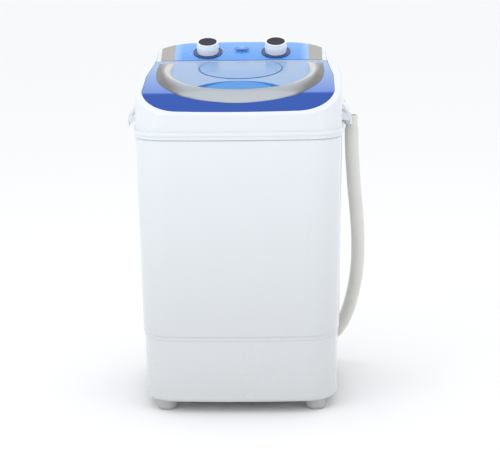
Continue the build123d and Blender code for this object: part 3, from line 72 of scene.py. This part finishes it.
# ------------------------------------------------------------------ materials
class Shader:
    """A material with one Principled shader and short ways to add procedural detail."""

    def __init__(self, name, color, roughness, **values):
        self.material = bpy.data.materials.new(name)
        self.material.use_nodes = True
        self.nodes = self.material.node_tree.nodes
        self.links = self.material.node_tree.links
        self.bsdf = self.nodes["Principled BSDF"]
        self.bsdf.inputs["Base Color"].default_value = (*color, 1.0)
        self.bsdf.inputs["Roughness"].default_value = roughness
        for key, value in values.items():
            self.bsdf.inputs[key.replace("_", " ")].default_value = value
        self.color = (*color, 1.0)
        self.place = self.nodes.new("ShaderNodeTexCoord").outputs["Object"]

    def noise(self, scale, detail=3.0, stretch=None):
        node = self.nodes.new("ShaderNodeTexNoise")
        node.inputs["Scale"].default_value = scale
        node.inputs["Detail"].default_value = detail
        source = self.place
        if stretch:
            mapping = self.nodes.new("ShaderNodeMapping")
            mapping.inputs["Scale"].default_value = stretch
            self.links.new(source, mapping.inputs["Vector"])
            source = mapping.outputs["Vector"]
        self.links.new(source, node.inputs["Vector"])
        return node.outputs["Fac"]

    def ramp(self, value, low, high, from_min=0.3, from_max=0.7):
        node = self.nodes.new("ShaderNodeMapRange")
        node.inputs["From Min"].default_value = from_min
        node.inputs["From Max"].default_value = from_max
        node.inputs["To Min"].default_value = low
        node.inputs["To Max"].default_value = high
        self.links.new(value, node.inputs["Value"])
        return node.outputs["Result"]

    def math(self, kind, a, b=None):
        node = self.nodes.new("ShaderNodeMath")
        node.operation = kind
        for index, value in enumerate((a, b)):
            if value is None:
                continue
            if isinstance(value, (int, float)):
                node.inputs[index].default_value = value
            else:
                self.links.new(value, node.inputs[index])
        return node.outputs[0]

    def axis(self, index):
        node = self.nodes.new("ShaderNodeSeparateXYZ")
        self.links.new(self.place, node.inputs[0])
        return node.outputs[index]

    def distance(self, x, y):
        """Distance in plan from the upright line through x, y."""
        across = self.math("SUBTRACT", self.axis(0), x)
        along = self.math("SUBTRACT", self.axis(1), y)
        squares = self.math("ADD", self.math("MULTIPLY", across, across), self.math("MULTIPLY", along, along))
        return self.math("SQRT", squares)

    def tint(self, factor, color, first=None):
        """Mix a colour over what the shader has so far."""
        node = self.nodes.new("ShaderNodeMix")
        node.data_type = "RGBA"
        socket = self.bsdf.inputs["Base Color"]
        if socket.is_linked:
            self.links.new(socket.links[0].from_socket, node.inputs["A"])
        else:
            node.inputs["A"].default_value = socket.default_value[:]
        node.inputs["B"].default_value = (*color, 1.0)
        self.links.new(factor, node.inputs["Factor"])
        self.links.new(node.outputs["Result"], socket)
        return self

    def mottle(self, scale, amount, darken=0.86):
        """Slow colour variation over the surface."""
        base = self.color
        shade = tuple(channel * darken for channel in base[:3])
        return self.tint(self.ramp(self.noise(scale, 1.0), 0.0, amount, 0.2, 0.8), shade)

    def rough(self, scale, low, high, stretch=None):
        spread = self.ramp(self.noise(scale, 2.0, stretch), low, high, 0.2, 0.8)
        self.links.new(spread, self.bsdf.inputs["Roughness"])
        return self

    def bump(self, height, strength, distance=0.0005):
        node = self.nodes.new("ShaderNodeBump")
        node.inputs["Strength"].default_value = strength
        node.inputs["Distance"].default_value = distance
        self.links.new(height, node.inputs["Height"])
        normal = self.bsdf.inputs["Normal"]
        if normal.is_linked:
            self.links.new(normal.links[0].from_socket, node.inputs["Normal"])
        self.links.new(node.outputs["Normal"], normal)
        return self

    def grain(self, scale, strength, distance=0.0003, stretch=None):
        return self.bump(self.noise(scale, 2.0, stretch), strength, distance)

    def worn(self, color, amount, scale=60.0):
        """Rubbed edges, broken up by noise."""
        edge = self.nodes.new("ShaderNodeNewGeometry").outputs["Pointiness"]
        edges = self.ramp(edge, 0.0, amount, 0.52, 0.60)
        patches = self.ramp(self.noise(scale, 5.0), 0.0, 1.0, 0.42, 0.62)
        return self.tint(self.math("MULTIPLY", edges, patches), color)


white_color = (0.755, 0.785, 0.82)
white = Shader(
    "white_gloss", white_color, 0.24, Coat_Weight=0.35, Coat_Roughness=0.08, Specular_IOR_Level=0.5
)
white.mottle(3.0, 0.25, 0.95).rough(14.0, 0.20, 0.30).grain(900.0, 0.05)
# Painted shade: the white is painted darker grey towards the bottom.
white.tint(white.ramp(white.axis(2), 0.85, 0.0, 0.0, 0.50), (0.565, 0.57, 0.575))

cabinet_white = Shader("cabinet_white", white_color, 0.22, Coat_Weight=0.4, Coat_Roughness=0.06)
cabinet_white.mottle(2.5, 0.2, 0.95).rough(11.0, 0.18, 0.27).grain(1100.0, 0.05)
# Painted shade: the cabinet white is painted darker grey towards the bottom.
cabinet_white.tint(cabinet_white.ramp(cabinet_white.axis(2), 0.80, 0.0, 0.12, 0.49), (0.575, 0.59, 0.605))

inner_white = Shader("inner_white", (0.74, 0.77, 0.80), 0.42)
inner_white.mottle(9.0, 0.5, 0.88).rough(30.0, 0.34, 0.52).grain(700.0, 0.12)

lid_color = (0.0, 0.085, 0.50)
lid_blue = Shader(
    "lid_blue", lid_color, 0.05, Transmission_Weight=0.30, IOR=1.45, Specular_IOR_Level=0.25, Coat_Weight=0.05
)
lid_blue.mottle(6.0, 0.2, 0.9).grain(3.5, 0.05, 0.002)
circle = lid_blue.distance(0.0, 0.053)
# Painted light: the lid's plane behind the front crease is painted a lighter blue than the front facet.
main = lid_blue.ramp(lid_blue.axis(1), 0.0, 1.0, -0.1185, -0.1165)
lid_blue.tint(main, (0.003, 0.17, 0.77))
# Painted sheen: a pale blue that grows towards the rear of the lid.
lid_blue.tint(lid_blue.ramp(lid_blue.axis(1), 0.0, 0.85, -0.105, 0.075), (0.40, 0.60, 0.95))
# Painted light: inside the ring, the white tub seen through the lid is painted as a paler blue.
under_ring = lid_blue.ramp(lid_blue.distance(0.0, 0.020), 0.85, 0.0, 0.118, 0.128)
lid_blue.tint(lid_blue.math("MULTIPLY", under_ring, main), (0.34, 0.53, 0.80))
# Painted light: the raised disc is painted a lighter blue, strongest near its front edge.
inside = lid_blue.ramp(circle, 1.0, 0.0, 0.0738, 0.0746)
near_line = lid_blue.ramp(lid_blue.axis(1), 0.55, 0.15, -0.022, 0.050)
lid_blue.tint(lid_blue.math("MULTIPLY", inside, near_line), (0.11, 0.38, 0.88))
# Painted light: the finger scoop's face is painted a brighter blue.
scoop_arc = lid_blue.ramp(lid_blue.distance(0.0, -0.126), 1.0, 0.0, 0.0890, 0.0905)
scoop = lid_blue.math("MULTIPLY", scoop_arc, lid_blue.ramp(lid_blue.axis(1), 0.0, 1.0, -0.1120, -0.1110))
lid_blue.tint(lid_blue.math("MULTIPLY", scoop, 0.95), (0.025, 0.32, 0.86))
# Painted shade: a thin dark line is painted round the raised disc's edge, where its step looks dark.
lines = lid_blue.math("ABSOLUTE", lid_blue.math("SUBTRACT", circle, 0.0752))
lid_blue.tint(lid_blue.ramp(lines, 0.9, 0.0, 0.0011, 0.0019), (0.01, 0.14, 0.52))

film = Shader("panel_film", (0.035, 0.27, 0.80), 0.30, Coat_Weight=0.6, Coat_Roughness=0.12)
film_side = film.math("ABSOLUTE", film.axis(0))
film.tint(film.ramp(film_side, 0.0, 0.60, 0.108, 0.120), (0.36, 0.56, 0.88))
film.tint(film.ramp(film.axis(1), 0.0, 0.42, 0.120, 0.182), (0.30, 0.58, 0.92))
# Painted shade: a dark band along the panel's front edge, where the gap in front of it lies in shadow.
film.tint(film.ramp(film.axis(1), 0.75, 0.0, 0.1095, 0.1130), (0.02, 0.13, 0.45))
film.grain(1400.0, 0.06).rough(40.0, 0.24, 0.38)

badge_blue = Shader("badge_blue", (0.05, 0.22, 0.66), 0.16, Coat_Weight=1.0, Coat_Roughness=0.04)
badge_blue.mottle(180.0, 0.5, 0.7).rough(60.0, 0.12, 0.24).grain(260.0, 0.15)
badge_ring = badge_blue.distance(0.0, 0.1535)
badge_blue.tint(badge_blue.ramp(badge_ring, 0.6, 0.0, 0.004, 0.0075), (0.22, 0.50, 0.90))

silver = Shader(
    "silver_coat", (0.40, 0.425, 0.455), 0.36, Metallic=0.75, Coat_Weight=0.15, Coat_Roughness=0.2
)
silver.mottle(30.0, 0.15, 0.9).rough(55.0, 0.32, 0.42).grain(1500.0, 0.10)
# Painted light and shade on the ring's sides, from the way each surface faces: slopes facing inward get a
# painted cream highlight, slopes facing outward get painted shade.
facing = silver.nodes.new("ShaderNodeSeparateXYZ")
silver.links.new(silver.nodes.new("ShaderNodeTexCoord").outputs["Normal"], facing.inputs[0])
away = silver.math("MULTIPLY", facing.outputs[0], silver.math("SIGN", silver.axis(0)))
beside = silver.ramp(silver.math("ABSOLUTE", silver.axis(0)), 0.0, 1.0, 0.050, 0.115)
# Painted shade: silver behind y = 0.108 (the panel's strips) is painted darker and browner.
silver.tint(silver.ramp(silver.axis(1), 0.0, 0.75, 0.107, 0.108), (0.33, 0.315, 0.285))
silver.tint(silver.math("MULTIPLY", beside, silver.ramp(away, 0.9, 0.0, -0.06, 0.02)), (0.74, 0.70, 0.60))
silver.tint(silver.math("MULTIPLY", beside, silver.ramp(away, 0.0, 0.95, 0.04, 0.24)), (0.13, 0.122, 0.112))

knob_white = Shader("knob_white", (0.94, 0.945, 0.96), 0.18, Coat_Weight=0.6, Coat_Roughness=0.05)
knob_white.mottle(60.0, 0.2, 0.95).rough(90.0, 0.14, 0.26).grain(900.0, 0.06)
knob_white.worn((0.72, 0.72, 0.72), 0.3, 200.0)

knob_dark = Shader("knob_dark", (0.004, 0.004, 0.018), 0.30, Specular_IOR_Level=0.22)
knob_dark.mottle(90.0, 0.6, 0.5).rough(120.0, 0.22, 0.36).grain(700.0, 0.08)

bezel_navy = Shader("bezel_navy", (0.006, 0.025, 0.15), 0.25, Coat_Weight=0.3, Coat_Roughness=0.06)
bezel_navy.mottle(80.0, 0.5, 0.7).rough(90.0, 0.15, 0.28).grain(900.0, 0.08)

grey_rubber = Shader("grey_rubber", (0.50, 0.505, 0.51), 0.62, Specular_IOR_Level=0.35)
grey_rubber.mottle(40.0, 0.8, 0.8).rough(60.0, 0.52, 0.75).grain(1200.0, 0.25)
grey_rubber.tint(grey_rubber.ramp(grey_rubber.axis(2), 0.5, 0.0, 0.0, 0.006), (0.22, 0.21, 0.20))

black_rubber = Shader("black_rubber", (0.02, 0.02, 0.021), 0.60)
black_rubber.mottle(60.0, 0.7, 0.5).rough(90.0, 0.5, 0.75).grain(1300.0, 0.3)

hose_cream = Shader(
    "hose_vinyl", (0.73, 0.715, 0.68), 0.38, Subsurface_Weight=0.15, Subsurface_Scale=0.004, Coat_Weight=0.15
)
hose_cream.mottle(18.0, 0.5, 0.9).rough(50.0, 0.30, 0.46).grain(600.0, 0.1)
hose_cream.tint(hose_cream.ramp(hose_cream.axis(2), 0.35, 0.0, 0.02, 0.2), (0.58, 0.55, 0.50))

steel = Shader("zinc_steel", (0.56, 0.57, 0.59), 0.32, Metallic=1.0)
steel.mottle(120.0, 0.6, 0.75).rough(180.0, 0.24, 0.45, (1.0, 1.0, 8.0))
steel.grain(900.0, 0.12, 0.0002, (1.0, 1.0, 12.0))

motor_paint = Shader("motor_enamel", (0.045, 0.048, 0.055), 0.45, Coat_Weight=0.2)
motor_paint.mottle(50.0, 0.7, 0.5).rough(80.0, 0.35, 0.6).grain(500.0, 0.25).worn((0.35, 0.35, 0.36), 0.7)

dark_plastic = Shader("dark_plastic", (0.030, 0.032, 0.038), 0.5)
dark_plastic.mottle(50.0, 0.6, 0.6).rough(90.0, 0.42, 0.62).grain(1000.0, 0.2)

bronze = Shader("sintered_bronze", (0.42, 0.27, 0.12), 0.42, Metallic=1.0)
bronze.mottle(200.0, 0.8, 0.6).rough(300.0, 0.35, 0.6).grain(1600.0, 0.3)

ink = Shader("white_ink", (0.80, 0.84, 0.90), 0.45)
ink.mottle(200.0, 0.5, 0.85).rough(300.0, 0.4, 0.6).grain(1500.0, 0.1)

by_slot = {
    "white_plastic": white,
    "inner_plastic": inner_white,
    "blue_clear": lid_blue,
    "blue_film": film,
    "silver_trim": silver,
    "knob_white": knob_white,
    "knob_dark": knob_dark,
    "grey_rubber": grey_rubber,
    "black_rubber": black_rubber,
    "hose_vinyl": hose_cream,
    "steel": steel,
    "motor_metal": motor_paint,
    "dark_plastic": dark_plastic,
    "bronze": bronze,
}
by_node = {
    "cabinet_shell": cabinet_white,
    "badge": badge_blue,
    "timer_bezel": bezel_navy,
    "selector_bezel": bezel_navy,
}


def paint(obj, shader):
    obj.data.materials.clear()
    obj.data.materials.append(shader.material)


for part in frame["record"]["subparts"]:
    node = part["node"]
    paint(frame["nodes"][node], by_node.get(node, by_slot[part["material_slot"]]))


# ------------------------------------------------------------------ body levels and small helpers
FRONT_Y, CREASE_Y, PANEL_Y = -0.180, -0.118, 0.1086
FRONT_Z = 0.5272
FACET, DECK, PANEL = math.radians(25.5), math.radians(8.2), math.radians(20.7)
CREASE_Z = FRONT_Z + (CREASE_Y - FRONT_Y) * math.tan(FACET)
PANEL_Z = CREASE_Z + (PANEL_Y - CREASE_Y) * math.tan(DECK)


def deck_z(y):
    """Height of the deck at y, over its front facet, the lid's plane and the panel."""
    if y < CREASE_Y:
        return FRONT_Z + (y - FRONT_Y) * math.tan(FACET)
    if y < PANEL_Y:
        return CREASE_Z + (y - CREASE_Y) * math.tan(DECK)
    return PANEL_Z + (y - PANEL_Y) * math.tan(PANEL)


def link(name, data, shader, body):
    """New object with a material and the body that carries it."""
    obj = bpy.data.objects.new(name, data)
    scene.collection.objects.link(obj)
    data.materials.append(shader.material)
    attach(obj, body)
    return obj


def mesh_piece(name, points, faces, shader, body, smooth=True):
    mesh = bpy.data.meshes.new(name)
    mesh.from_pydata([tuple(point) for point in points], [], faces)
    mesh.validate()
    mesh.update()
    for polygon in mesh.polygons:
        polygon.use_smooth = smooth
    return link(name, mesh, shader, body)


# ------------------------------------------------------------------ drain hose
HOSE_DIAMETER = 0.025
hose_points = [
    (0.1020, 0.1875, 0.0270),
    (0.1260, 0.1875, 0.0305),
    (0.1490, 0.1860, 0.0395),
    (0.1695, 0.1815, 0.0545),
    (0.1850, 0.1750, 0.0755),
    (0.1965, 0.1665, 0.1040),
    (0.2060, 0.1540, 0.1420),
    (0.2125, 0.1395, 0.1840),
    (0.2145, 0.1240, 0.2270),
    (0.2135, 0.1095, 0.2700),
    (0.2100, 0.0955, 0.3150),
    (0.2055, 0.0825, 0.3610),
    (0.2020, 0.0670, 0.4110),
    (0.2006, 0.0625, 0.4440),
    (0.2006, 0.0625, 0.4680),
]
hose_curve = bpy.data.curves.new("drain_hose_tube", "CURVE")
hose_curve.dimensions = "3D"
hose_curve.bevel_depth = HOSE_DIAMETER / 2
hose_curve.bevel_resolution = 8
hose_curve.resolution_u = 16
hose_line = hose_curve.splines.new("NURBS")
hose_line.points.add(len(hose_points) - 1)
for point, spot in zip(hose_line.points, hose_points):
    point.co = (*spot, 1.0)
hose_line.order_u = 3
hose_line.use_endpoint_u = True
hose = link("drain_hose_tube", hose_curve, hose_cream, "housing")
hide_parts("drain_hose")


# ------------------------------------------------------------------ silver ring on the lid
FINE_STEPS = 24  # steps of the smooth line between two given points


def through(points, count):
    """Points evenly spread along a smooth line through the given ones."""
    ends = [points[0] * 2 - points[1]] + points + [points[-1] * 2 - points[-2]]
    fine = []
    for index in range(1, len(ends) - 2):
        a, b, c, d = ends[index - 1 : index + 3]
        for step in range(FINE_STEPS):
            t = step / FINE_STEPS
            square = (2 * a - 5 * b + 4 * c - d) * t * t
            cube = (3 * b - a - 3 * c + d) * t**3
            fine.append(0.5 * (2 * b + (c - a) * t + square + cube))
    fine.append(points[-1])
    lengths = [0.0]
    for a, b in zip(fine, fine[1:]):
        lengths.append(lengths[-1] + (b - a).length)
    result = []
    place = 0
    for step in range(count + 1):
        goal = lengths[-1] * step / count
        while place < len(fine) - 2 and lengths[place + 1] < goal:
            place += 1
        share = (goal - lengths[place]) / max(1e-9, lengths[place + 1] - lengths[place])
        result.append(fine[place].lerp(fine[place + 1], min(1.0, share)))
    return result


def horseshoe(half):
    """The given half of a horseshoe, from one end to the middle, and its mirror image."""
    half = [Vector(point) for point in half]
    return half + [Vector((-point.x, point.y)) for point in reversed(half[:-1])]


ring_outer = horseshoe(
    [
        (0.149, 0.0885),
        (0.1505, 0.030),
        (0.147, -0.020),
        (0.1365, -0.063),
        (0.110, -0.116),
        (0.082, -0.132),
        (0.045, -0.142),
        (0.0, -0.147),
    ]
)
ring_inner = horseshoe(
    [
        (0.122, 0.0885),
        (0.125, 0.030),
        (0.116, -0.015),
        (0.098, -0.050),
        (0.072, -0.080),
        (0.040, -0.099),
        (0.0, -0.107),
    ]
)
SECTIONS = 160  # cross-sections along the ring, from one end to the other
OUTER_STEPS, INNER_STEPS = 12, 8  # steps up to the crest and down to the inner edge
SUNK = -0.0008  # the ring's skirt goes this far into the lid
OUTER_RISE, INNER_RISE = 0.0003, 0.0008
END_RISE, FRONT_RISE = 0.0012, 0.0046  # crest at the ends, and what it gains towards the front
outer_line = through(ring_outer, SECTIONS)
inner_line = through(ring_inner, SECTIONS)
ring_points = []
for index in range(SECTIONS + 1):
    outer, inner = outer_line[index], inner_line[index]
    nearness = math.sin(math.pi * index / SECTIONS)
    crest = outer.lerp(inner, 0.5 + 0.22 * nearness)
    rise = END_RISE + FRONT_RISE * min(1.0, 2.0 * nearness)
    row = [(outer, SUNK), (outer, OUTER_RISE)]
    for step in range(1, OUTER_STEPS + 1):
        share = step / OUTER_STEPS
        lift = OUTER_RISE + (rise - OUTER_RISE) * math.sin(math.pi / 2 * share)
        row.append((outer.lerp(crest, share), lift))
    for step in range(1, INNER_STEPS + 1):
        share = step / INNER_STEPS
        lift = rise + (INNER_RISE - rise) * (1 - math.cos(math.pi / 2 * share))
        row.append((crest.lerp(inner, share), lift))
    row.append((inner, SUNK))
    for spot, lift in row:
        ring_points.append((spot.x, spot.y, deck_z(spot.y) + lift))
width = len(ring_points) // (SECTIONS + 1)
ring_faces = []
for index in range(SECTIONS):
    for step in range(width - 1):
        a = index * width + step
        ring_faces.append((a, a + 1, a + width + 1, a + width))
ring_faces.append(tuple(range(width)))
ring_faces.append(tuple(range(SECTIONS * width + width - 1, SECTIONS * width - 1, -1)))
ring = mesh_piece("lid_ring_trim", ring_points, ring_faces, silver, "lid")
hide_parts("lid_ring")


# ------------------------------------------------------------------ marks round the knobs
KNOB_X, KNOB_Y, KNOB_Z = 0.063, 0.14105, 0.60169
TICK_START, TICK_SHORT, TICK_LONG = 0.0288, 0.0308, 0.0322  # radii round the knob
TICK_HALF_WIDTH = 0.0004
MARK_LIFT = 0.00095  # the marks lie on the film
NUMBER_RADIUS = 0.0352


def on_panel(x, across, along, lift):
    """Point on the control panel, across and along its slope from a knob's centre."""
    y = KNOB_Y + along * math.cos(PANEL)
    z = KNOB_Z + along * math.sin(PANEL)
    return Vector((x + across, y - lift * math.sin(PANEL), z + lift * math.cos(PANEL)))


def tick_marks(name, x, turns, long_every):
    """Flat printed lines round the knob at x, at the given angles from the back."""
    points, faces = [], []
    for index, degrees in enumerate(turns):
        angle = math.radians(degrees)
        out = (math.sin(angle), math.cos(angle))
        side = (out[1], -out[0])
        reach = TICK_LONG if index % long_every == 0 else TICK_SHORT
        start = len(points)
        for radius, way in ((TICK_START, -1), (TICK_START, 1), (reach, 1), (reach, -1)):
            shift = way * TICK_HALF_WIDTH
            across = out[0] * radius + side[0] * shift
            along = out[1] * radius + side[1] * shift
            points.append(on_panel(x, across, along, MARK_LIFT))
        faces.append((start, start + 3, start + 2, start + 1))
    return mesh_piece(name, points, faces, ink, "housing", False)


tick_marks("timer_ticks", -KNOB_X, [20.0 * step for step in range(-7, 8)], 2)
tick_marks("selector_ticks", KNOB_X, [-45.0, 0.0, 45.0], 1)
for index, minutes in enumerate((3, 6, 9, 12)):
    angle = math.radians(-80.0 + 53.3 * index)
    text = bpy.data.curves.new(f"timer_number_{minutes}", "FONT")
    text.body = str(minutes)
    text.size = 0.0052
    text.align_x = "CENTER"
    text.align_y = "CENTER"
    text.extrude = 0.00005
    number = link(text.name, text, ink, "housing")
    number.matrix_world = Matrix.Translation(
        on_panel(-KNOB_X, NUMBER_RADIUS * math.sin(angle), NUMBER_RADIUS * math.cos(angle), MARK_LIFT)
    ) @ Matrix.Rotation(PANEL, 4, "X")


# ------------------------------------------------------------------ floor and light
floor_mesh = bpy.data.meshes.new("floor")
FLOOR_REACH = 60.0
floor_corners = [(x * FLOOR_REACH, y * FLOOR_REACH, 0.0) for x, y in ((-1, -1), (1, -1), (1, 1), (-1, 1))]
floor_mesh.from_pydata(floor_corners, [], [(0, 1, 2, 3)])
floor = bpy.data.objects.new("floor", floor_mesh)
floor.location.z = -0.0002
scene.collection.objects.link(floor)
floor_paint = Shader("floor_paint", (0.93, 0.93, 0.935), 0.9, Specular_IOR_Level=0.1)
floor_paint.mottle(1.5, 0.1, 0.98)
floor_mesh.materials.append(floor_paint.material)

world = bpy.data.worlds.new("studio")
world.use_nodes = True
world.node_tree.nodes["Background"].inputs["Color"].default_value = (0.97, 0.985, 1.0, 1.0)
world.node_tree.nodes["Background"].inputs["Strength"].default_value = 1.03
scene.world = world


def area(name, spot, aim, size_x, size_y, power, color=(1.0, 1.0, 1.0)):
    """Rectangular light at spot, facing aim."""
    data = bpy.data.lights.new(name, "AREA")
    data.shape = "RECTANGLE"
    data.size = size_x
    data.size_y = size_y
    data.energy = power
    data.color = color
    lamp = bpy.data.objects.new(name, data)
    scene.collection.objects.link(lamp)
    lamp.location = spot
    lamp.rotation_euler = (Vector(aim) - Vector(spot)).to_track_quat("-Z", "Y").to_euler()


area("overhead", (0.0, -0.2, 2.6), (0.0, 0.0, 0.3), 2.4, 2.4, 8.0)
area("key_left", (-1.7, -1.9, 1.5), (0.0, 0.0, 0.35), 1.2, 1.6, 9.0, (0.96, 0.98, 1.0))
area("fill_right", (1.9, -1.5, 0.9), (0.0, 0.0, 0.3), 0.5, 1.5, 1.5)
